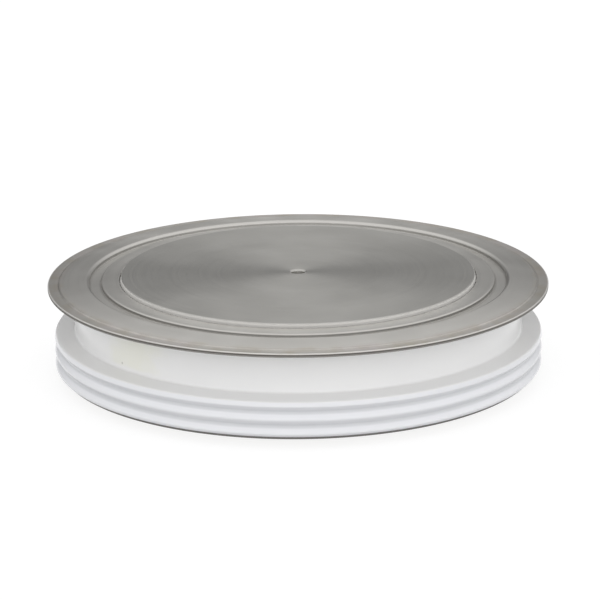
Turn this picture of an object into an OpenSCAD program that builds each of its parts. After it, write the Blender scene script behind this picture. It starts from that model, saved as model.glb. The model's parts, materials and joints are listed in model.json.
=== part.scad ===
// Press-pack rectifier diode: two copper poles, a ribbed ceramic ring, thin sheet flanges and the
// wafer stack between the poles. Millimetres, +Z up. The origin is the centre of the anode's
// contact face, which the capsule stands on. Every piece is turned about the Z axis.

/* [Capsule] */
// Height between the two contact faces
capsule_h = 26; // [25:0.5:36]
// Diameter of each contact face
contact_d = 92; // [80:1:110]

/* [Poles] */
// Bevel round the edge of each contact face
face_bevel = 0.25; // [0.1:0.05:0.5]
// How much wider the raised face gets down to its foot
face_flare = 0.3; // [0:0.05:0.6]
// Width of the shoulder outside the contact face, which carries the flange sheet
shoulder_w = 4.5; // [3:0.5:7]
// Height of the anode pole, from its contact face to the wafer stack
anode_pole_h = 9; // [7:0.5:11]
// Depth of the step round the cathode pole's inner face
boss_h = 2; // [1.5:0.5:4]
// Diameter of the centring hole in each contact face
hole_d = 3.6; // [2:0.1:6]
// Depth of the centring hole's straight wall and bevel
hole_depth = 3; // [2:0.5:5]
// Bevel at the mouth of the centring hole
hole_bevel = 0.4; // [0.2:0.1:0.8]

/* [Flange sheets] */
// Thickness of the cathode and anode flange sheets
sheet_t = 0.6; // [0.4:0.05:0.7]
// Depth of the sheets below the contact faces, where they lie on the shoulders
plateau_drop = 1.05; // [0.8:0.05:1.4]
// Gap between the raised face's foot and the sheet's inner edge
sheet_gap = 0.2; // [0.15:0.05:1]
// Width of the channel between the plateau and the lip
channel_w = 3.1; // [3:0.1:6]
// Depth of the channel's floor below the plateau
channel_drop = 1.05; // [1:0.05:1.3]
// Rise of the cathode flange from the rim in to its lip
lip_rise = 0.5; // [0.2:0.1:0.8]
// Radius of the tight bends, at the middle of the sheet
bend_r = 0.5; // [0.4:0.05:0.55]
// Radius of the plateau's outer edge, which the press squares up
crown_r = 0.4; // [0.05:0.05:0.5]
// Radius of the rounded lip, at the middle of the sheet
lip_bend_r = 0.6; // [0.5:0.1:1]
// How far each channel wall leans
wall_lean = 0.15; // [0:0.05:0.3]

/* [Rim] */
// Depth of the rim's top below the cathode's contact face
rim_drop = 1.6; // [1.3:0.1:2]
// Thickness of the pinched rim, both sheets together
rim_t = 1; // [0.8:0.05:1.2]
// Width of the pinched band
pinch_w = 2.7; // [2:0.1:4]
// Width of the slope down to the pinched band
pinch_slope = 0.3; // [0.1:0.05:0.5]
// Bevel on the rim's outer corners
rim_bevel = 0.2; // [0.05:0.05:0.25]
// Depth of the groove round the rim's edge where its two sheets meet
seam_depth = 0.2; // [0.05:0.05:0.2]
// Thickness of the weld ring inside its rim
ring_t = 0.8; // [0.7:0.05:1]
// Distance from the ceramic's neck out to the rim's edge
rim_overhang = 4.8; // [4.2:0.1:8]

/* [Ceramic] */
// Wall of the ceramic at its neck
neck_wall = 4.9; // [4:0.1:9]
// Gap between the cathode flange's channel and the ceramic's bore
bore_clear = 0.45; // [0.3:0.05:1]
// How far the ribs stand out past the neck
rib_swell = 3.4; // [2.4:0.1:4]
// Height of the flare, from the topmost rib's crest up to the plain neck
flare_h = 7.5; // [6:0.5:10]
// Number of ribs
rib_count = 3; // [2:1:3]
// Distance from crest to crest
rib_pitch = 3.55; // [3:0.05:3.8]
// Depth of the grooves between the ribs
rib_depth = 1.2; // [0.4:0.1:1.4]
// Depth of the groove above the topmost rib, in the foot of the flare
flare_groove = 1.8; // [0.8:0.1:2]
// Height of the lowest crest above the ceramic's base
rib_foot = 1; // [0.6:0.1:1.5]
// Bevel on the ceramic's outer edges
glaze_bevel = 0.3; // [0.1:0.05:0.5]
// Bevel on both edges of the ceramic's bore
bore_bevel = 0.4; // [0.1:0.05:0.6]
// Height of the anode flange's underside above the anode's contact face
base_gap = 2.1; // [2:0.1:3]
// How far the anode flange's edge lies inside the ceramic's base
base_inset = 0.4; // [0:0.1:1]

/* [Wafer stack] */
// How far the wafer and the anode disc that carries it stand out past the contact face
wafer_margin = 4; // [2:0.5:6]
// Thickness of the wafer
wafer_t = 0.9; // [0.5:0.1:1.4]
// Radial width of the wafer's bevelled edge
wafer_bevel = 1.6; // [0.8:0.1:2.4]
// Thickness of the anode disc
anode_disc_t = 3; // [2:0.5:4]
// Gap between the cathode disc and the seal on the wafer's edge
disc_gap = 0.9; // [0.3:0.1:2]
// Thickness of the cathode disc
cathode_disc_t = 2; // [1.5:0.5:3]
// Thickness of each silver foil
foil_t = 0.2; // [0.1:0.05:0.4]
// How far each foil's edge lies inside the piece that presses on it
foil_inset = 0.5; // [0.2:0.1:1]

/* [Seal and centring ring] */
// How far the seal stands out past the wafer's rim
seal_w = 1; // [0.6:0.1:1.5]
// Height of the seal above the wafer
seal_h = 1.3; // [0.8:0.1:1.6]
// Radial width of the seal's land inside the wafer's bevel
seal_land = 2; // [1:0.1:2.2]
// Length of the seal's skirt below the wafer
seal_skirt = 1.2; // [0.6:0.1:1.6]
// Radius of the seal's rounded outer shoulder
seal_round = 1; // [0.4:0.1:1.2]
// Sliding gap round the wafer stack and inside the ceramic
ring_clear = 0.2; // [0.1:0.05:0.4]
// Height of the centring ring above the seal
ring_lead = 0.3; // [0.1:0.1:1]
// Bevel on the centring ring's outer edges
ring_bevel = 0.3; // [0.1:0.1:0.6]

/* [Hidden] */
$fn = 144;

// Radii, from the middle outwards
hole_r = hole_d / 2;
contact_r = contact_d / 2;
foot_r = contact_r + face_flare;
sheet_in_r = foot_r + sheet_gap;
shoulder_r = contact_r + shoulder_w;
shoulder_gap = 0.05;
shoulder_bevel = bend_r - sheet_t / 2 + 3 * shoulder_gap;
plateau_r = shoulder_r + shoulder_gap + sheet_t;
lip_r = plateau_r + channel_w;
bore_r = lip_r + sheet_t + bore_clear;
neck_r = bore_r + neck_wall;
rim_r = neck_r + rim_overhang;
pinch_r = rim_r - pinch_w;

// Heights of the flanges and of the ceramic
seat_depth = plateau_drop + sheet_t;
rim_z = capsule_h - rim_drop;
weld_z = rim_z - rim_t / 2;
ceramic_top = rim_z - rim_t;
ring_top = ceramic_top + ring_t;
ceramic_base = base_gap + sheet_t;

// The drill leaves a pointed floor under each centring hole
drill_tip_angle = 118;
hole_tip_h = hole_r / tan(drill_tip_angle / 2);

// Radii and heights of the wafer stack, from the anode up
wafer_r = contact_r + wafer_margin;
wafer_top_r = wafer_r - wafer_bevel;
seal_in_r = wafer_top_r - seal_land;
cathode_disc_r = seal_in_r - disc_gap;
boss_r = cathode_disc_r - foil_inset;
anode_disc_z = anode_pole_h + foil_t;
wafer_z = anode_disc_z + anode_disc_t;
cathode_disc_z = wafer_z + wafer_t;
cathode_foil_z = cathode_disc_z + cathode_disc_t;
cathode_pole_h = capsule_h - cathode_foil_z - foil_t;
seal_out_r = wafer_r + seal_w;
seal_top = cathode_disc_z + seal_h;

// The ribs: crests at even steps above the ceramic's base, grooves halfway between them
top_crest_z = ceramic_base + rib_foot + (rib_count - 1) * rib_pitch;
flare_top_z = top_crest_z + flare_h;
outline_step = rib_pitch / 14;
bend_steps = 6;

function unit(v) = v / norm(v);
function left_of(v) = [-v[1], v[0]];
function turned_by(v, angle) = [
    v[0] * cos(angle) - v[1] * sin(angle), v[0] * sin(angle) + v[1] * cos(angle)
];
function reversed(list) = [for (i = [len(list) - 1:-1:0]) list[i]];

// One side of a bend in a sheet whose middle runs from one point past a corner to another.
// The side lies at offset to the left of the middle, and radius is the bend's at the middle.
function bend(from, corner, to, radius, offset) =
    let (
        inward = unit(corner - from),
        outward = unit(to - corner),
        angle = atan2(inward[0] * outward[1] - inward[1] * outward[0], inward * outward),
        side = sign(angle),
        start = corner - inward * radius * tan(abs(angle) / 2),
        centre = start + side * radius * left_of(inward)
    )
    [for (k = [0:bend_steps])
        centre - side * (radius - side * offset) * left_of(turned_by(inward, angle * k / bend_steps))];

// One side of a whole bent sheet: the bends at every corner between the path's two ends
function sheet_side(path, radii, offset) =
    [for (i = [1:len(path) - 2]) each bend(path[i - 1], path[i], path[i + 1], radii[i - 1], offset)];

// The ceramic's radius at a height: a smooth flare from the neck to the crests, less the grooves
function flare_share(z) = min(1, max(0, (flare_top_z - z) / flare_h));
function flare_radius(z) = neck_r + rib_swell * (1 - cos(180 * flare_share(z))) / 2;
function groove_depth(z) =
    z < top_crest_z ? rib_depth :
    z < top_crest_z + rib_pitch ? flare_groove : 0;
function groove_at(z) = groove_depth(z) * (1 - cos(360 * (z - top_crest_z) / rib_pitch)) / 2;
function outline_radius(z) = flare_radius(z) - groove_at(z);

module turned(profile) {
    rotate_extrude() polygon(profile);
}

module disc(r, z, h) {
    translate([0, 0, z]) cylinder(r = r, h = h);
}

// A pole with its contact face at z = 0 and its inner face at z = h
module pole(h, inner_r, step_h) {
    turned([
        [hole_r + hole_bevel, 0],
        [contact_r - face_bevel, 0],
        [contact_r, face_bevel],
        [foot_r, seat_depth],
        [shoulder_r - shoulder_bevel, seat_depth],
        [shoulder_r, seat_depth + shoulder_bevel],
        [shoulder_r, h - step_h],
        [inner_r, h - step_h],
        [inner_r, h],
        [0, h],
        [0, hole_depth + hole_tip_h],
        [hole_r, hole_depth],
        [hole_r, hole_bevel]
    ]);
}

module cathode_pole() {
    color([0.64, 0.63, 0.61])
        translate([0, 0, capsule_h]) mirror([0, 0, 1]) pole(cathode_pole_h, boss_r, boss_h);
}

module anode_pole() {
    color([0.64, 0.63, 0.61]) pole(anode_pole_h, shoulder_r, 0);
}

// The middle of the cathode flange's sheet: plateau, channel, lip and the slope out to the rim
cathode_plateau_z = capsule_h - plateau_drop - sheet_t / 2;
cathode_floor_z = cathode_plateau_z - channel_drop;
annulus_z = ring_top + sheet_t / 2;
slope_r = pinch_r - pinch_slope;
cathode_path = [
    [sheet_in_r, cathode_plateau_z],
    [plateau_r - sheet_t / 2, cathode_plateau_z],
    [plateau_r - sheet_t / 2 + wall_lean, cathode_floor_z],
    [lip_r + sheet_t / 2 - wall_lean, cathode_floor_z],
    [lip_r + sheet_t / 2, annulus_z + lip_rise],
    [slope_r, annulus_z]
];
cathode_radii = [bend_r, bend_r, lip_bend_r];

module cathode_flange() {
    color([0.7, 0.69, 0.66]) turned(concat(
        [[sheet_in_r, cathode_plateau_z + sheet_t / 2]],
        sheet_side(cathode_path, concat(crown_r - sheet_t / 2, cathode_radii), sheet_t / 2),
        [
            [slope_r, ring_top + sheet_t],
            [pinch_r, rim_z],
            [rim_r - rim_bevel, rim_z],
            [rim_r, rim_z - rim_bevel],
            [rim_r, weld_z + seam_depth],
            [rim_r - seam_depth, weld_z],
            [pinch_r, weld_z],
            [slope_r, ring_top]
        ],
        reversed(sheet_side(cathode_path, concat(bend_r, cathode_radii), -sheet_t / 2)),
        [[sheet_in_r, cathode_plateau_z - sheet_t / 2]]
    ));
}

module weld_ring() {
    color([0.62, 0.6, 0.57]) turned([
        [bore_r + bore_bevel, ceramic_top],
        [rim_r - rim_bevel, ceramic_top],
        [rim_r, ceramic_top + rim_bevel],
        [rim_r, weld_z - seam_depth],
        [rim_r - seam_depth, weld_z],
        [pinch_r, weld_z],
        [slope_r, ring_top],
        [bore_r + bore_bevel, ring_top]
    ]);
}

module ceramic_housing() {
    outline_z = [
        for (z = [ceramic_base + glaze_bevel:outline_step:min(flare_top_z, ceramic_top - glaze_bevel)]) z
    ];
    color([0.93, 0.93, 0.94]) turned(concat(
        [
            [bore_r + bore_bevel, ceramic_base],
            [outline_radius(ceramic_base) - glaze_bevel, ceramic_base]
        ],
        [for (z = outline_z) [outline_radius(z), z]],
        [
            [outline_radius(ceramic_top - glaze_bevel), ceramic_top - glaze_bevel],
            [outline_radius(ceramic_top) - glaze_bevel, ceramic_top],
            [bore_r + bore_bevel, ceramic_top],
            [bore_r, ceramic_top - bore_bevel],
            [bore_r, ceramic_base + bore_bevel]
        ]
    ));
}

// The middle of the anode flange's sheet: the seat under the pole's shoulder, a joggle up to the
// ceramic's base, and the flat land under the ceramic
anode_seat_z = plateau_drop + sheet_t / 2;
anode_land_z = base_gap + sheet_t / 2;
anode_rim_r = outline_radius(ceramic_base) - base_inset;
anode_path = [
    [sheet_in_r, anode_seat_z],
    [plateau_r - sheet_t / 2, anode_seat_z],
    [plateau_r - sheet_t / 2 + wall_lean, anode_land_z],
    [anode_rim_r, anode_land_z]
];
anode_radii = [bend_r, bend_r];

module anode_flange() {
    color([0.62, 0.6, 0.57]) turned(concat(
        [[sheet_in_r, anode_seat_z + sheet_t / 2]],
        sheet_side(anode_path, anode_radii, sheet_t / 2),
        [
            [anode_rim_r, ceramic_base],
            [anode_rim_r, base_gap + rim_bevel],
            [anode_rim_r - rim_bevel, base_gap]
        ],
        reversed(sheet_side(anode_path, anode_radii, -sheet_t / 2)),
        [[sheet_in_r, anode_seat_z - sheet_t / 2]]
    ));
}

module anode_foil() {
    color([0.85, 0.85, 0.86]) disc(min(shoulder_r, wafer_r) - foil_inset, anode_pole_h, foil_t);
}

module anode_disc() {
    color([0.5, 0.51, 0.53]) disc(wafer_r, anode_disc_z, anode_disc_t);
}

module silicon_wafer() {
    color([0.25, 0.27, 0.32])
        translate([0, 0, wafer_z]) cylinder(r1 = wafer_r, r2 = wafer_top_r, h = wafer_t);
}

module edge_seal() {
    color([0.75, 0.3, 0.2]) turned(concat(
        [
            [seal_in_r, cathode_disc_z],
            [wafer_top_r, cathode_disc_z],
            [wafer_r, wafer_z],
            [wafer_r, wafer_z - seal_skirt],
            [seal_out_r, wafer_z - seal_skirt]
        ],
        [for (k = [0:bend_steps])
            let (angle = 90 * k / bend_steps)
            [
                seal_out_r - seal_round * (1 - cos(angle)),
                seal_top - seal_round * (1 - sin(angle))
            ]
        ],
        [[seal_in_r, seal_top]]
    ));
}

module cathode_disc() {
    color([0.5, 0.51, 0.53]) disc(cathode_disc_r, cathode_disc_z, cathode_disc_t);
}

module cathode_foil() {
    color([0.85, 0.85, 0.86]) disc(boss_r, cathode_foil_z, foil_t);
}

// The ring stands on the anode flange, fits round the anode pole and holds the seal in its pocket
module centring_ring() {
    ring_out_r = bore_r - ring_clear;
    collar_r = max(shoulder_r, wafer_r) + ring_clear;
    pocket_r = seal_out_r + ring_clear;
    pocket_z = wafer_z - seal_skirt - ring_clear;
    ring_z = seal_top + ring_lead;
    color([0.93, 0.92, 0.88]) turned([
        [collar_r, ceramic_base],
        [ring_out_r - ring_bevel, ceramic_base],
        [ring_out_r, ceramic_base + ring_bevel],
        [ring_out_r, ring_z - ring_bevel],
        [ring_out_r - ring_bevel, ring_z],
        [pocket_r, ring_z],
        [pocket_r, pocket_z],
        [collar_r, pocket_z]
    ]);
}

cathode_pole();
cathode_flange();
weld_ring();
ceramic_housing();
anode_flange();
anode_pole();
anode_foil();
anode_disc();
silicon_wafer();
edge_seal();
cathode_disc();
cathode_foil();
centring_ring();
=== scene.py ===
"""Looks of a press-pack rectifier diode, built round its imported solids. Metres, +Z up, the axis on Z.

Every piece of the object is a body of revolution. The six that show are turned again here, finer and
with softened edges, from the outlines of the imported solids. The ceramic also gets the narrower neck
and the nearly flat ledge that its solid lacks. The sealed inner pieces keep their own meshes.
"""
import json
import math

import bpy
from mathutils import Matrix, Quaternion, Vector, noise


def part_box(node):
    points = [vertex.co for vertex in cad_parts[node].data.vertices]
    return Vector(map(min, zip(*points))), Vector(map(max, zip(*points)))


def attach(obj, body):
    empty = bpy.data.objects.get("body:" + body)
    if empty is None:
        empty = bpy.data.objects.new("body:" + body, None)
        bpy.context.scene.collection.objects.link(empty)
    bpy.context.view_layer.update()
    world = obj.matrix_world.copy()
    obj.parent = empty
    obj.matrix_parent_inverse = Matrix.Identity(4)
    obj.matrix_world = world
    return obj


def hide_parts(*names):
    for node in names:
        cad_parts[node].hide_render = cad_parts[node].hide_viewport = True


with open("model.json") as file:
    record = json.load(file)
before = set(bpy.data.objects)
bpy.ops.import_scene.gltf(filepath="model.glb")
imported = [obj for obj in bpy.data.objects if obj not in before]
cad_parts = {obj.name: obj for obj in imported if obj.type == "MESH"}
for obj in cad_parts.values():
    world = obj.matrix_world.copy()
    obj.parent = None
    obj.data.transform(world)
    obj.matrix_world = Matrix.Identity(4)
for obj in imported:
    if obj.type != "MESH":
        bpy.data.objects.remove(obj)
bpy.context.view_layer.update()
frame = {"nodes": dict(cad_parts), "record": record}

# Sizes of the solids: from their boxes, or as the part's source has them where the boxes don't tell

MM = 0.001
RIM_T = 1 * MM
RIM_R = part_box("cathode_flange")[1].x
RIM_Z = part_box("weld_ring")[0].z + RIM_T
SEAM_Z = RIM_Z - RIM_T / 2
PINCH_R = RIM_R - 2.7 * MM
PINCH_SLOPE = 0.3 * MM
ANODE_RIM_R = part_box("anode_flange")[1].x
CONTACT_R = 46 * MM
PLATEAU_R = 51.15 * MM
PLATEAU_Z = 24.95 * MM
LIP_R = 54.25 * MM
RIB_PITCH = 3.55 * MM
CREST_Z = 10.8 * MM

# The ceramic above its topmost rib, with the marks on it

LEDGE_R = 63.3 * MM
LEDGE_Z = 11.8 * MM
LEDGE_RISE = 0.5 * MM
LEDGE_FILLET = 0.8 * MM
NECK_R = 58.2 * MM
STAIN_AT = Vector((-41.2, -41.2, 16.3)) * MM
PIT_AT = Vector((-43.6, -38.6, 13.9)) * MM

# The camera and the picture's frame: the rim's centre lies at RIM_PIXEL in a square picture

PICTURE = 600
FOCAL_PIXELS = 2493.7
SENSOR = 36.0
CAMERA_ELEVATION = math.radians(16.18)
CAMERA_DISTANCE = 10 * RIM_R
CAMERA_ROLL = math.radians(-0.45)
RIM_PIXEL = (298.0, 277.27)

# Which material each node has

SLOTS = {part["node"]: part["material_slot"] for part in frame["record"]["subparts"]}

# Colours: a pair runs from its darker to its paler one in soft clouds

PLATING = ((0.525, 0.515, 0.485), (0.575, 0.565, 0.54))
# Painted sheen: the pole's wall is painted paler than its plating, for the light that it catches from in
# front
POLE_WALL_SHEEN = (0.79, 0.78, 0.76)
# Painted shade at the foot of the pole's wall, where it meets the flange sheet
POLE_FOOT_SHADE = (0.3, 0.29, 0.28)
FLANGE_SHEET = ((0.65, 0.635, 0.6), (0.705, 0.69, 0.66))
RING_SHEET = ((0.5, 0.485, 0.46), (0.56, 0.545, 0.52))
STRAW_HEAT = (0.6, 0.55, 0.46)
VIOLET_HEAT = (0.58, 0.52, 0.53)
# A darker warm grey coat down the pinch's slope
PINCH_DARKER = (0.46, 0.44, 0.41)
# Painted highlight along the rim's rounded top edge
RIM_HIGHLIGHT = (0.86, 0.85, 0.83)
RIM_SEAM = (0.25, 0.235, 0.22)
# A darker coat on the lower half of the rim's face
RIM_LOWER_DARK = (0.27, 0.26, 0.245)
# Painted shade on the edge of the anode's flange, under the ceramic
ANODE_EDGE_SHADE = (0.15, 0.145, 0.14)
# Painted shade down in the flange's channel, against its walls
CHANNEL_SHADE = (0.12, 0.115, 0.11)
# The glaze is painted paler than the ribs' coat where it shows on the neck: painted light against the
# shade that the flange casts there
LIT_GLAZE = ((0.91, 0.91, 0.912), (0.94, 0.94, 0.938))
RIBS = (0.893, 0.9, 0.928)
# Painted shade in the ceramic's grooves
GROOVE_SHADE = (0.7, 0.71, 0.73)
# Painted shade on the ceramic's ledge
LEDGE_SHADE = (0.87, 0.87, 0.87)
NECK_STAIN = (0.91, 0.91, 0.83)
PIT = (0.3, 0.29, 0.27)

# Sealed materials by slot: their darker and paler colour, roughness and size of grain

INNER_METALS = {
    "silver_foil": ((0.8, 0.8, 0.8), (0.86, 0.86, 0.87), 0.3, 1.5 * MM),
    "molybdenum": ((0.4, 0.41, 0.43), (0.48, 0.49, 0.51), 0.38, 0.4 * MM),
    "silicon": ((0.22, 0.24, 0.29), (0.27, 0.29, 0.34), 0.12, 3 * MM),
}
INNER_PLASTICS = {
    "silicone_rubber": ((0.6, 0.24, 0.17), (0.7, 0.3, 0.21), 0.5, 0.8 * MM),
    "ring_plastic": ((0.84, 0.83, 0.78), (0.9, 0.89, 0.85), 0.42, 1.2 * MM),
}


# Outlines

# Points that are closer than this lie on one ring
SAME_RING = 0.004 * MM

# A corner that turns by more is softened, over at most this share of the sides beside it
SHARP = math.radians(20)
CORNER_SHARE = 0.4
CORNER_STEPS = 4


def ring_index(point, rings):
    """Where a (radius, height) point stands in the list of rings, which it joins if it is new."""
    for index, ring in enumerate(rings):
        if abs(ring[0] - point[0]) < SAME_RING and abs(ring[1] - point[1]) < SAME_RING:
            return index
    rings.append(point)
    return len(rings) - 1


def outline(node):
    """A solid's section as (radius, height) points in order, and whether it closes on itself."""
    mesh = frame["nodes"][node].data
    rings = []
    ring_of = [ring_index((math.hypot(v.co.x, v.co.y), v.co.z), rings) for v in mesh.vertices]
    beside = {index: set() for index in range(len(rings))}
    for edge in mesh.edges:
        a, b = (ring_of[v] for v in edge.vertices)
        if a != b:
            beside[a].add(b)
            beside[b].add(a)
    ends = [index for index, others in beside.items() if len(others) == 1]
    order = [ends[0] if ends else 0]
    while True:
        onward = [index for index in sorted(beside[order[-1]]) if index not in order]
        if not onward:
            break
        order.append(onward[0])
    points = [rings[index] for index in order]
    return outward_order(points), not ends


def outward_order(points):
    """The points in the order that makes a turned surface face outwards."""
    area = 0
    for (r0, z0), (r1, z1) in zip(points, points[1:] + points[:1]):
        area += (r0 * z1 - r1 * z0) / 2
    return points if area > 0 else points[::-1]


def softened(points, closed, radius):
    """The section with its sharp corners rounded, as far as the sides beside them allow."""
    soft = []
    for index, point in enumerate(points):
        at_end = not closed and index in (0, len(points) - 1)
        before = Vector(points[index - 1]) - Vector(point)
        after = Vector(points[(index + 1) % len(points)]) - Vector(point)
        turn = math.pi - before.angle(after)
        if at_end or turn < SHARP or point[0] < SAME_RING:
            soft.append(tuple(point))
            continue
        room = CORNER_SHARE * min(before.length, after.length)
        reach = min(radius * math.tan(turn / 2), room)
        start = Vector(point) + before.normalized() * reach
        end = Vector(point) + after.normalized() * reach
        for step in range(CORNER_STEPS + 1):
            t = step / CORNER_STEPS
            curve = start * (1 - t) ** 2 + Vector(point) * 2 * t * (1 - t) + end * t ** 2
            soft.append(tuple(curve))
    return soft


def stepped(points, closed, longest):
    """The section with its long sides divided."""
    fine = []
    onward = points[1:] + (points[:1] if closed else [])
    for (r0, z0), (r1, z1) in zip(points, onward):
        count = max(1, math.ceil(math.hypot(r1 - r0, z1 - z0) / longest))
        for step in range(count):
            t = step / count
            fine.append((r0 + (r1 - r0) * t, z0 + (z1 - z0) * t))
    return fine if closed else fine + [points[-1]]


def with_ledge(points):
    """The ceramic's outline, with the ledge and the narrower neck that it shows above its ribs."""
    bore_side = NECK_R - 1 * MM

    def kept(point):
        return point[1] <= CREST_Z or point[0] < bore_side

    start = next(i for i, point in enumerate(points) if kept(points[i - 1]) and not kept(point))
    crest = points[start - 1]
    rest = [point for point in points[start:] + points[:start] if kept(point)]
    top = max(height for radius, height in points)
    ledge = [crest, (LEDGE_R, LEDGE_Z), (NECK_R, LEDGE_Z + LEDGE_RISE), (NECK_R, top)]
    return softened(ledge, False, LEDGE_FILLET)[1:] + rest


# Turned pieces

SEGMENTS = 360


def rows_round(points, uneven):
    """The vertices of an outline turned round the axis, and the run of them that each point makes."""
    vertices, rows = [], []
    for radius, height in points:
        count = 1 if radius < SAME_RING else SEGMENTS
        rows.append(range(len(vertices), len(vertices) + count))
        for k in range(count):
            angle = 2 * math.pi * k / SEGMENTS
            point = Vector((radius * math.cos(angle), radius * math.sin(angle), height))
            vertices.append(uneven(point) if uneven else point)
    return vertices, rows


def faces_between(rows, closed):
    """The faces between rows that lie side by side, and over each flat end of an open outline."""
    faces = []
    for row, above in zip(rows, rows[1:] + (rows[:1] if closed else [])):
        for k in range(SEGMENTS):
            after = (k + 1) % SEGMENTS
            near = [row[k % len(row)], row[after % len(row)]]
            far = [above[after % len(above)], above[k % len(above)]]
            faces.append(list(dict.fromkeys(near + far)))
    if not closed:
        ends = (list(rows[0])[::-1], list(rows[-1]))
        faces += [end for end in ends if len(end) > 1]
    return faces


def turned(name, node, material, edge, step, uneven=None, reshaped=None):
    """A piece turned from a solid's outline, which it replaces.

    edge is the radius that its sharp corners get, and step the longest side that its outline keeps.
    reshaped changes the outline, and uneven nudges each vertex.
    """
    points, closed = outline(node)
    points = reshaped(points) if reshaped else points
    points = stepped(softened(points, closed, edge), closed, step)
    vertices, rows = rows_round(points, uneven)
    mesh = bpy.data.meshes.new(name)
    mesh.from_pydata(vertices, [], faces_between(rows, closed))
    mesh.validate()
    mesh.shade_smooth()
    mesh.materials.append(material)
    piece = bpy.data.objects.new(name, mesh)
    bpy.context.scene.collection.objects.link(piece)
    weighted = piece.modifiers.new("weighted_normals", "WEIGHTED_NORMAL")
    weighted.mode = "FACE_AREA"
    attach(piece, "root")
    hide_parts(node)


# Shader nodes

# A colour's Mix node has several sockets of each name, so they go by number
MIX_SHARE = 0
MIX_FIRST = 6
MIX_SECOND = 7
MIX_RESULT = 2

# Nearly all of a noise lies between these
NOISE_LOW = 0.3
NOISE_HIGH = 0.7


def feed(tree, node, inputs):
    """Sets a node's inputs. Each is a value, or the socket that feeds it."""
    for key, value in inputs.items():
        if isinstance(value, bpy.types.NodeSocket):
            tree.links.new(value, node.inputs[key])
        else:
            node.inputs[key].default_value = value


def add(tree, kind, inputs=None, **settings):
    """A new node with its settings and inputs."""
    node = tree.nodes.new("ShaderNode" + kind)
    for key, value in settings.items():
        setattr(node, key, value)
    feed(tree, node, inputs or {})
    return node


def new_material(name):
    """An empty material, its tree and its Principled shader."""
    material = bpy.data.materials.new(name)
    material.use_nodes = True
    tree = material.node_tree
    tree.nodes.clear()
    shader = add(tree, "BsdfPrincipled")
    add(tree, "OutputMaterial", {"Surface": shader.outputs["BSDF"]})
    return material, tree, shader


def place_of(tree):
    """The position of a point of the object."""
    return add(tree, "TexCoord").outputs["Object"]


def math_of(tree, operation, first, second=0.0):
    """One step of arithmetic. An operation on a single value leaves the second unused."""
    return add(tree, "Math", {0: first, 1: second}, operation=operation).outputs[0]


def product(tree, first, *others):
    """Values or masks multiplied together."""
    for other in others:
        first = math_of(tree, "MULTIPLY", first, other)
    return first


def ranged(tree, value, low, high, to_low, to_high, smooth=False):
    """A value carried from one range to another, and held at its ends."""
    inputs = {"Value": value, "From Min": low, "From Max": high, "To Min": to_low, "To Max": to_high}
    kind = "SMOOTHSTEP" if smooth else "LINEAR"
    return add(tree, "MapRange", inputs, interpolation_type=kind).outputs["Result"]


def rising(tree, value, low, high, full=1.0, smooth=False):
    """A mask that rises from 0 to full as a value goes from low to high."""
    return ranged(tree, value, low, high, 0, full, smooth)


def falling(tree, value, low, high, full=1.0, smooth=False):
    """A mask that falls from full to 0 as a value goes from low to high."""
    return ranged(tree, value, low, high, full, 0, smooth)


def varied(tree, pattern, least, most):
    """A noise carried to a range."""
    return ranged(tree, pattern, NOISE_LOW, NOISE_HIGH, least, most)


def noise_of(tree, place, size, detail=3):
    """Noise from 0 to 1 whose patches are about size wide."""
    inputs = {"Vector": place, "Scale": 1 / size, "Detail": detail}
    return add(tree, "TexNoise", inputs).outputs["Fac"]


def rings_of(tree, radius, width):
    """Concentric rings from 0 to 1, about width wide, as a turning tool leaves them."""
    inputs = {"W": radius, "Scale": 1 / width}
    return add(tree, "TexNoise", inputs, noise_dimensions="1D").outputs["Fac"]


def height_of(tree, place):
    """The height of a point."""
    return add(tree, "SeparateXYZ", {0: place}).outputs["Z"]


def radius_of(tree, place):
    """The distance of a point from the axis."""
    flat = add(tree, "VectorMath", {0: place, 1: (1, 1, 0)}, operation="MULTIPLY").outputs[0]
    return add(tree, "VectorMath", {0: flat}, operation="LENGTH").outputs["Value"]


def distance_of(tree, place, spot):
    """The distance of a point from a spot."""
    inputs = {0: place, 1: tuple(spot)}
    return add(tree, "VectorMath", inputs, operation="DISTANCE").outputs["Value"]


def opaque(colour):
    """A colour as a node takes it: three numbers gain an alpha, and a socket stays as it is."""
    return colour if isinstance(colour, bpy.types.NodeSocket) else (*colour, 1)


def blended(tree, share, first, second):
    """Two colours mixed by a share."""
    inputs = {MIX_SHARE: share, MIX_FIRST: opaque(first), MIX_SECOND: opaque(second)}
    return add(tree, "Mix", inputs, data_type="RGBA").outputs[MIX_RESULT]


def coated(tree, colour, coats):
    """A colour under coats in their order, each one a mask and the colour that it lays on."""
    for mask, coat in coats:
        colour = blended(tree, mask, colour, coat)
    return colour


def relief(tree, shader, *layers):
    """Gives a shader relief. Each layer is a pattern from 0 to 1 and the depth that it stands for."""
    normal = None
    for pattern, depth in layers:
        inputs = {"Height": pattern, "Distance": depth}
        if normal:
            inputs["Normal"] = normal
        normal = add(tree, "Bump", inputs).outputs["Normal"]
    feed(tree, shader, {"Normal": normal})


def ring_brushed(tree, shader):
    """Makes a shader metal whose fine marks run in rings, so that its highlights stretch across them."""
    quarter_turn = 0.25
    tangent = add(tree, "Tangent", direction_type="RADIAL", axis="Z").outputs["Tangent"]
    feed(tree, shader, {"Metallic": 1, "Tangent": tangent, "Anisotropic Rotation": quarter_turn})


# The poles

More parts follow.
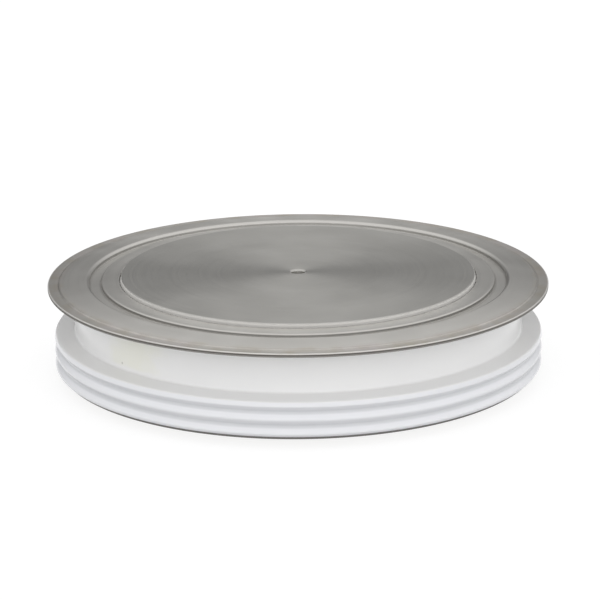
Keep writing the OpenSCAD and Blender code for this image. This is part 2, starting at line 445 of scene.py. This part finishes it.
def plated_pole():
    """Copper, turned and then nickel-plated: rings under a satin plating, a rough wall painted pale as a
    painted sheen, and painted shade at its foot.
    """
    material, tree, shader = new_material("plated_pole")
    place = place_of(tree)
    radius = radius_of(tree, place)
    clouds = noise_of(tree, place, 14 * MM)
    marks = rings_of(tree, radius, 0.6 * MM)
    grain = noise_of(tree, place, 0.5 * MM, detail=2)
    wall = rising(tree, radius, CONTACT_R - 0.1 * MM, CONTACT_R)
    coats = [(wall, POLE_WALL_SHEEN), (foot_shade(tree, place, wall), POLE_FOOT_SHADE)]
    colour = coated(tree, blended(tree, clouds, *PLATING), coats)
    rough = math_of(tree, "ADD", varied(tree, marks, 0.33, 0.41), varied(tree, clouds, -0.02, 0.03))
    rough = math_of(tree, "ADD", rough, product(tree, wall, 0.5))
    stretch = ranged(tree, wall, 0, 1, 0.65, 0.1)
    ring_brushed(tree, shader)
    feed(tree, shader, {"Base Color": colour, "Roughness": rough, "Anisotropic": stretch})
    relief(tree, shader, (marks, 0.002 * MM), (grain, 0.002 * MM))
    return material


def foot_shade(tree, place, wall):
    """A mask of painted shade at the foot of the cathode pole's wall, by the flange sheet."""
    height = height_of(tree, place)
    foot = falling(tree, height, PLATEAU_Z + 0.35 * MM, PLATEAU_Z + 0.55 * MM, 0.2)
    return product(tree, wall, foot)


# The flanges and the weld ring

def rolled_sheet(name, pair):
    """Nickel-iron sheet: tints of the brazing heat, a painted highlight on the rim, darker rim edges,
    and painted shade in the channel and on the anode's edge.
    """
    material, tree, shader = new_material(name)
    place = place_of(tree)
    radius = radius_of(tree, place)
    height = height_of(tree, place)
    clouds = noise_of(tree, place, 11 * MM)
    marks = rings_of(tree, radius, 0.9 * MM)
    grain = noise_of(tree, place, 0.6 * MM, detail=2)
    # The rim's top edge gets a painted highlight, and is made rougher
    rim_highlight = rim_highlight_mask(tree, radius, height)
    coats = [*rim_and_pinch_tints(tree, place, radius, height, clouds),
             (rim_highlight, RIM_HIGHLIGHT),
             *dark_edges(tree, radius, height),
             (channel_shade(tree, radius, height), CHANNEL_SHADE)]
    colour = coated(tree, blended(tree, clouds, *pair), coats)
    rough = math_of(tree, "ADD", varied(tree, clouds, 0.33, 0.39), varied(tree, marks, -0.03, 0.03))
    rough = math_of(tree, "ADD", rough, product(tree, rim_highlight, 0.3))
    ring_brushed(tree, shader)
    feed(tree, shader, {"Base Color": colour, "Roughness": rough, "Anisotropic": 0.68})
    relief(tree, shader, (marks, 0.003 * MM), (grain, 0.003 * MM))
    return material


def rim_and_pinch_tints(tree, place, radius, height, clouds):
    """The straw and violet coats that the brazing heat left near the rim, and a darker warm grey coat
    down the pinch's slope.
    """
    patches = noise_of(tree, place, 5 * MM)
    top = rising(tree, height, SEAM_Z + 0.1 * MM, SEAM_Z + 0.3 * MM)
    outer = rising(tree, radius, RIM_R - 5 * MM, RIM_R - 2.5 * MM, smooth=True)
    near_rim = product(tree, top, outer)
    slope_start = rising(tree, radius, PINCH_R - 2 * PINCH_SLOPE, PINCH_R - PINCH_SLOPE)
    slope_end = falling(tree, radius, PINCH_R, PINCH_R + 0.4 * MM)
    straw = product(tree, near_rim, ranged(tree, patches, 0.42, 0.7, 0.1, 0.75))
    violet = product(tree, near_rim, ranged(tree, clouds, 0.45, 0.7, 0, 0.4))
    pinch = product(tree, slope_start, slope_end, ranged(tree, patches, 0.3, 0.6, 0.3, 0.7), top)
    return [(straw, STRAW_HEAT), (violet, VIOLET_HEAT), (pinch, PINCH_DARKER)]


def outermost(tree, radius, rim):
    """A mask of the last 0.2 mm inside a rim, which fades out over the 0.2 mm before them."""
    return rising(tree, radius, rim - 0.4 * MM, rim - 0.2 * MM)


def rim_highlight_mask(tree, radius, height):
    """A mask of the painted highlight along the rim's top edge, which the bevel rounds off."""
    top = rising(tree, height, RIM_Z - 0.25 * MM, RIM_Z - 0.1 * MM, 0.85)
    return product(tree, outermost(tree, radius, RIM_R), top)


def dark_edges(tree, radius, height):
    """The dark coats of the rim's seam and of its lower half, and the painted shade on the edge of the
    anode's flange.
    """
    at_rim = outermost(tree, radius, RIM_R)
    off_seam = math_of(tree, "ABSOLUTE", math_of(tree, "SUBTRACT", height, SEAM_Z))
    seam = product(tree, falling(tree, off_seam, 0.2 * MM, 0.4 * MM), at_rim)
    lower_half = product(tree, falling(tree, height, SEAM_Z, SEAM_Z + 0.1 * MM), at_rim)
    under_ribs = falling(tree, height, CREST_Z - 1 * MM, CREST_Z)
    anode_shade = product(tree, under_ribs, outermost(tree, radius, ANODE_RIM_R))
    return [(seam, RIM_SEAM), (lower_half, RIM_LOWER_DARK), (anode_shade, ANODE_EDGE_SHADE)]


def channel_shade(tree, radius, height):
    """A mask of painted shade down in the channel, thickest against its two walls."""
    below_plateau = falling(tree, height, PLATEAU_Z - 0.4 * MM, PLATEAU_Z - 0.1 * MM)
    above_floor = ranged(tree, height, PLATEAU_Z - 0.8 * MM, PLATEAU_Z - 0.5 * MM, 0.4, 1)
    inner = falling(tree, radius, PLATEAU_R + 0.25 * MM, PLATEAU_R + 0.7 * MM, 0.7)
    outer = product(tree, rising(tree, radius, LIP_R - 0.7 * MM, LIP_R - 0.2 * MM, 0.45),
                    falling(tree, radius, LIP_R + 0.5 * MM, LIP_R + 0.8 * MM))
    walls = math_of(tree, "MAXIMUM", inner, outer)
    return product(tree, below_plateau, above_floor, walls)


# The ceramic

def glazed_alumina():
    """White alumina under a clear glaze: painted shade in its grooves and on its ledge, a neck painted
    paler against the flange's shade, one straw-coloured stain and one pit.
    """
    material, tree, shader = new_material("glazed_alumina")
    place = place_of(tree)
    height = height_of(tree, place)
    clouds = noise_of(tree, place, 16 * MM)
    swell = noise_of(tree, place, 9 * MM, detail=1)
    peel = noise_of(tree, place, 2.5 * MM, detail=2)
    ribs = falling(tree, height, LEDGE_Z - 0.4 * MM, LEDGE_Z, smooth=True)
    pit = falling(tree, distance_of(tree, place, PIT_AT), 0.1 * MM, 0.4 * MM, 0.5)
    coats = [(ribs, RIBS),
             (groove_shade(tree, height), GROOVE_SHADE),
             (ledge_shade(tree, height), LEDGE_SHADE),
             (neck_stain(tree, place, height), NECK_STAIN),
             (pit, PIT)]
    colour = coated(tree, blended(tree, clouds, *LIT_GLAZE), coats)
    rough = varied(tree, clouds, 0.19, 0.22)
    feed(tree, shader, {"Base Color": colour, "Roughness": rough, "IOR": 1.6})
    relief(tree, shader, (swell, 0.05 * MM), (peel, 0.006 * MM))
    return material


def groove_shade(tree, height):
    """A mask of painted shade in the grooves, the low parts of the wave that the ribs make."""
    turns = product(tree, math_of(tree, "SUBTRACT", height, CREST_Z), 2 * math.pi / RIB_PITCH)
    wave = math_of(tree, "COSINE", turns)
    shaded = ranged(tree, wave, -0.2, -0.95, 0, 0.8, smooth=True)
    return product(tree, shaded, falling(tree, height, CREST_Z, CREST_Z + 0.1 * MM))


def ledge_shade(tree, height):
    """A mask of painted shade on the ledge between the topmost rib and the neck."""
    ledge_top = LEDGE_Z + LEDGE_RISE
    above_rib = rising(tree, height, LEDGE_Z - 0.2 * MM, LEDGE_Z + 0.1 * MM)
    return product(tree, above_rib, falling(tree, height, ledge_top, ledge_top + 0.4 * MM))


def neck_stain(tree, place, height):
    """A mask of the one pale stain on the neck, with a cloudy border."""
    border = varied(tree, noise_of(tree, place, 7 * MM, detail=4), -4 * MM, 4 * MM)
    far = math_of(tree, "ADD", distance_of(tree, place, STAIN_AT), border)
    stain = falling(tree, far, 2 * MM, 13 * MM, 0.9, smooth=True)
    return product(tree, stain, rising(tree, height, LEDGE_Z + 0.8 * MM, LEDGE_Z + 2 * MM))


# The sealed pieces

def inner_metal(name, dark, pale, rough, grain_size):
    """Bare metal of a sealed inner piece: silver foil, lapped molybdenum or polished silicon."""
    material, tree, shader = new_material(name)
    place = place_of(tree)
    clouds = noise_of(tree, place, 12 * MM)
    colour = blended(tree, clouds, dark, pale)
    rough = varied(tree, clouds, rough - 0.05, rough + 0.05)
    feed(tree, shader, {"Base Color": colour, "Roughness": rough, "Metallic": 1})
    relief(tree, shader, (noise_of(tree, place, grain_size), 0.004 * MM))
    return material


def inner_plastic(name, dark, pale, rough, grain_size):
    """Moulded silicone rubber or plastic of a sealed inner piece."""
    material, tree, shader = new_material(name)
    place = place_of(tree)
    clouds = noise_of(tree, place, 9 * MM)
    colour = blended(tree, clouds, dark, pale)
    rough = varied(tree, clouds, rough - 0.06, rough + 0.06)
    feed(tree, shader, {"Base Color": colour, "Roughness": rough})
    relief(tree, shader, (noise_of(tree, place, grain_size), 0.01 * MM))
    return material


# The object

def sheet_waves(point):
    """Presswork is never quite flat: the sheet's free part rises, falls and droops a little."""
    middle, half_width = 58 * MM, 4 * MM
    droop_start, droop_width = 58.5 * MM, 3.2 * MM
    above_pinch = SEAM_Z + 0.6 * MM
    radius = math.hypot(point.x, point.y)
    free = max(0.0, 1 - abs(radius - middle) / half_width)
    wave = noise.noise(point / (14 * MM)) * 0.03 * MM
    out = min(1.0, max(0.0, (radius - droop_start) / droop_width))
    droop = 0.12 * MM * out * out if point.z > above_pinch else 0
    return point + Vector((0, 0, wave * free - droop))


def glaze_waves(point):
    """Fired ceramic is never quite round: its outside wanders a little from a true turned form."""
    outside = RIM_R - 7 * MM
    radius = math.hypot(point.x, point.y)
    if radius <= outside:
        return point
    outward = Vector((point.x, point.y, 0)) / radius
    wander = noise.noise(point / (13 * MM)) + 0.5 * noise.noise(point / (6 * MM))
    return point + outward * (wander * 0.03 * MM)


def build_outside():
    """The six pieces that show, each turned again from its solid."""
    pole = plated_pole()
    sheet = rolled_sheet("flange_sheet", FLANGE_SHEET)
    ring = rolled_sheet("ring_sheet", RING_SHEET)
    turned("cathode_pole_turned", "cathode_pole", pole, edge=0.12 * MM, step=3 * MM)
    turned("anode_pole_turned", "anode_pole", pole, edge=0.12 * MM, step=3 * MM)
    turned("cathode_flange_pressed", "cathode_flange", sheet, edge=0.1 * MM, step=1 * MM,
           uneven=sheet_waves)
    turned("anode_flange_pressed", "anode_flange", ring, edge=0.1 * MM, step=2 * MM)
    turned("weld_ring_pressed", "weld_ring", ring, edge=0.1 * MM, step=2 * MM)
    turned("ceramic_glazed", "ceramic_housing", glazed_alumina(), edge=0.25 * MM, step=1 * MM,
           uneven=glaze_waves, reshaped=with_ledge)


def dress_inside():
    """The seven sealed pieces, which keep their own meshes and get their materials."""
    inner = {slot: inner_metal(slot, *look) for slot, look in INNER_METALS.items()}
    inner.update({slot: inner_plastic(slot, *look) for slot, look in INNER_PLASTICS.items()})
    for node, piece in frame["nodes"].items():
        if SLOTS[node] in inner:
            piece.data.materials.clear()
            piece.data.materials.append(inner[SLOTS[node]])


# The studio

FLOOR_SIZE = 12
FLOOR_GREY = (0.5, 0.5, 0.5)
FLOOR_SEEN_GREY = (0.3, 0.3, 0.3)
FLOOR_SEEN_GLOW = 0.78

ROOM_LEVEL = 0.88
WINDOW_LEVEL = 0.82
WINDOW_AZIMUTH = math.radians(8)
WINDOW_FULL_BELOW = math.radians(6)
WINDOW_ENDS_AT = math.radians(52)


def build_floor():
    """A pale floor, seen as white less the shadow on it, which lights the object as a grey one does."""
    bpy.ops.mesh.primitive_plane_add(size=FLOOR_SIZE)
    floor = bpy.context.object
    floor.name = "floor"
    material, tree, shader = new_material("floor")
    ray = add(tree, "LightPath").outputs
    seen = math_of(tree, "MAXIMUM", ray["Is Camera Ray"], ray["Is Glossy Ray"])
    seen = math_of(tree, "MAXIMUM", seen, ray["Is Transmission Ray"])
    colour = blended(tree, seen, FLOOR_GREY, FLOOR_SEEN_GREY)
    glow = product(tree, seen, FLOOR_SEEN_GLOW)
    feed(tree, shader, {"Base Color": colour, "Roughness": 1, "Specular IOR Level": 0,
                        "Emission Color": (1, 1, 1, 1), "Emission Strength": glow})
    floor.data.materials.append(material)


def build_world():
    """A pale room: a bright window side low in front of the object, and dark low down behind it."""
    world = bpy.data.worlds.new("studio")
    bpy.context.scene.world = world
    world.use_nodes = True
    tree = world.node_tree
    tree.nodes.clear()
    way = add(tree, "TexCoord").outputs["Generated"]
    window = (math.sin(WINDOW_AZIMUTH), -math.cos(WINDOW_AZIMUTH), 0)
    ahead = add(tree, "VectorMath", {0: way, 1: window}, operation="DOT_PRODUCT").outputs["Value"]
    facing = math_of(tree, "MAXIMUM", ahead, product(tree, ahead, ahead, -1.0))
    low = falling(tree, height_of(tree, way), math.sin(WINDOW_FULL_BELOW), math.sin(WINDOW_ENDS_AT),
                  WINDOW_LEVEL, smooth=True)
    strength = math_of(tree, "ADD", product(tree, facing, low), ROOM_LEVEL)
    background = add(tree, "Background", {"Color": (1, 1, 1, 1), "Strength": strength})
    add(tree, "OutputWorld", {"Surface": background.outputs["Background"]})


def build_camera():
    """The camera stands as the picture's did, and turns so that the rim's centre falls on its pixel."""
    data = bpy.data.cameras.new("camera")
    data.sensor_width = SENSOR
    data.lens = SENSOR * FOCAL_PIXELS / PICTURE
    data.clip_start = 0.01
    data.clip_end = 100
    camera = bpy.data.objects.new("camera", data)
    rim_centre = Vector((0, 0, RIM_Z))
    back = Vector((0, -math.cos(CAMERA_ELEVATION), math.sin(CAMERA_ELEVATION)))
    camera.location = rim_centre + back * CAMERA_DISTANCE
    across = RIM_PIXEL[0] - PICTURE / 2
    up = PICTURE / 2 - RIM_PIXEL[1]
    ray = Vector((across / FOCAL_PIXELS, up / FOCAL_PIXELS, -1))
    aim = (-back).to_track_quat("-Z", "Y")
    roll = Quaternion((0, 0, 1), CAMERA_ROLL)
    camera.rotation_mode = "QUATERNION"
    camera.rotation_quaternion = aim @ roll @ ray.rotation_difference(Vector((0, 0, -1)))
    bpy.context.scene.collection.objects.link(camera)
    bpy.context.scene.camera = camera


build_outside()
dress_inside()
build_floor()
build_world()
build_camera()
bpy.context.scene.view_settings.view_transform = "Standard"
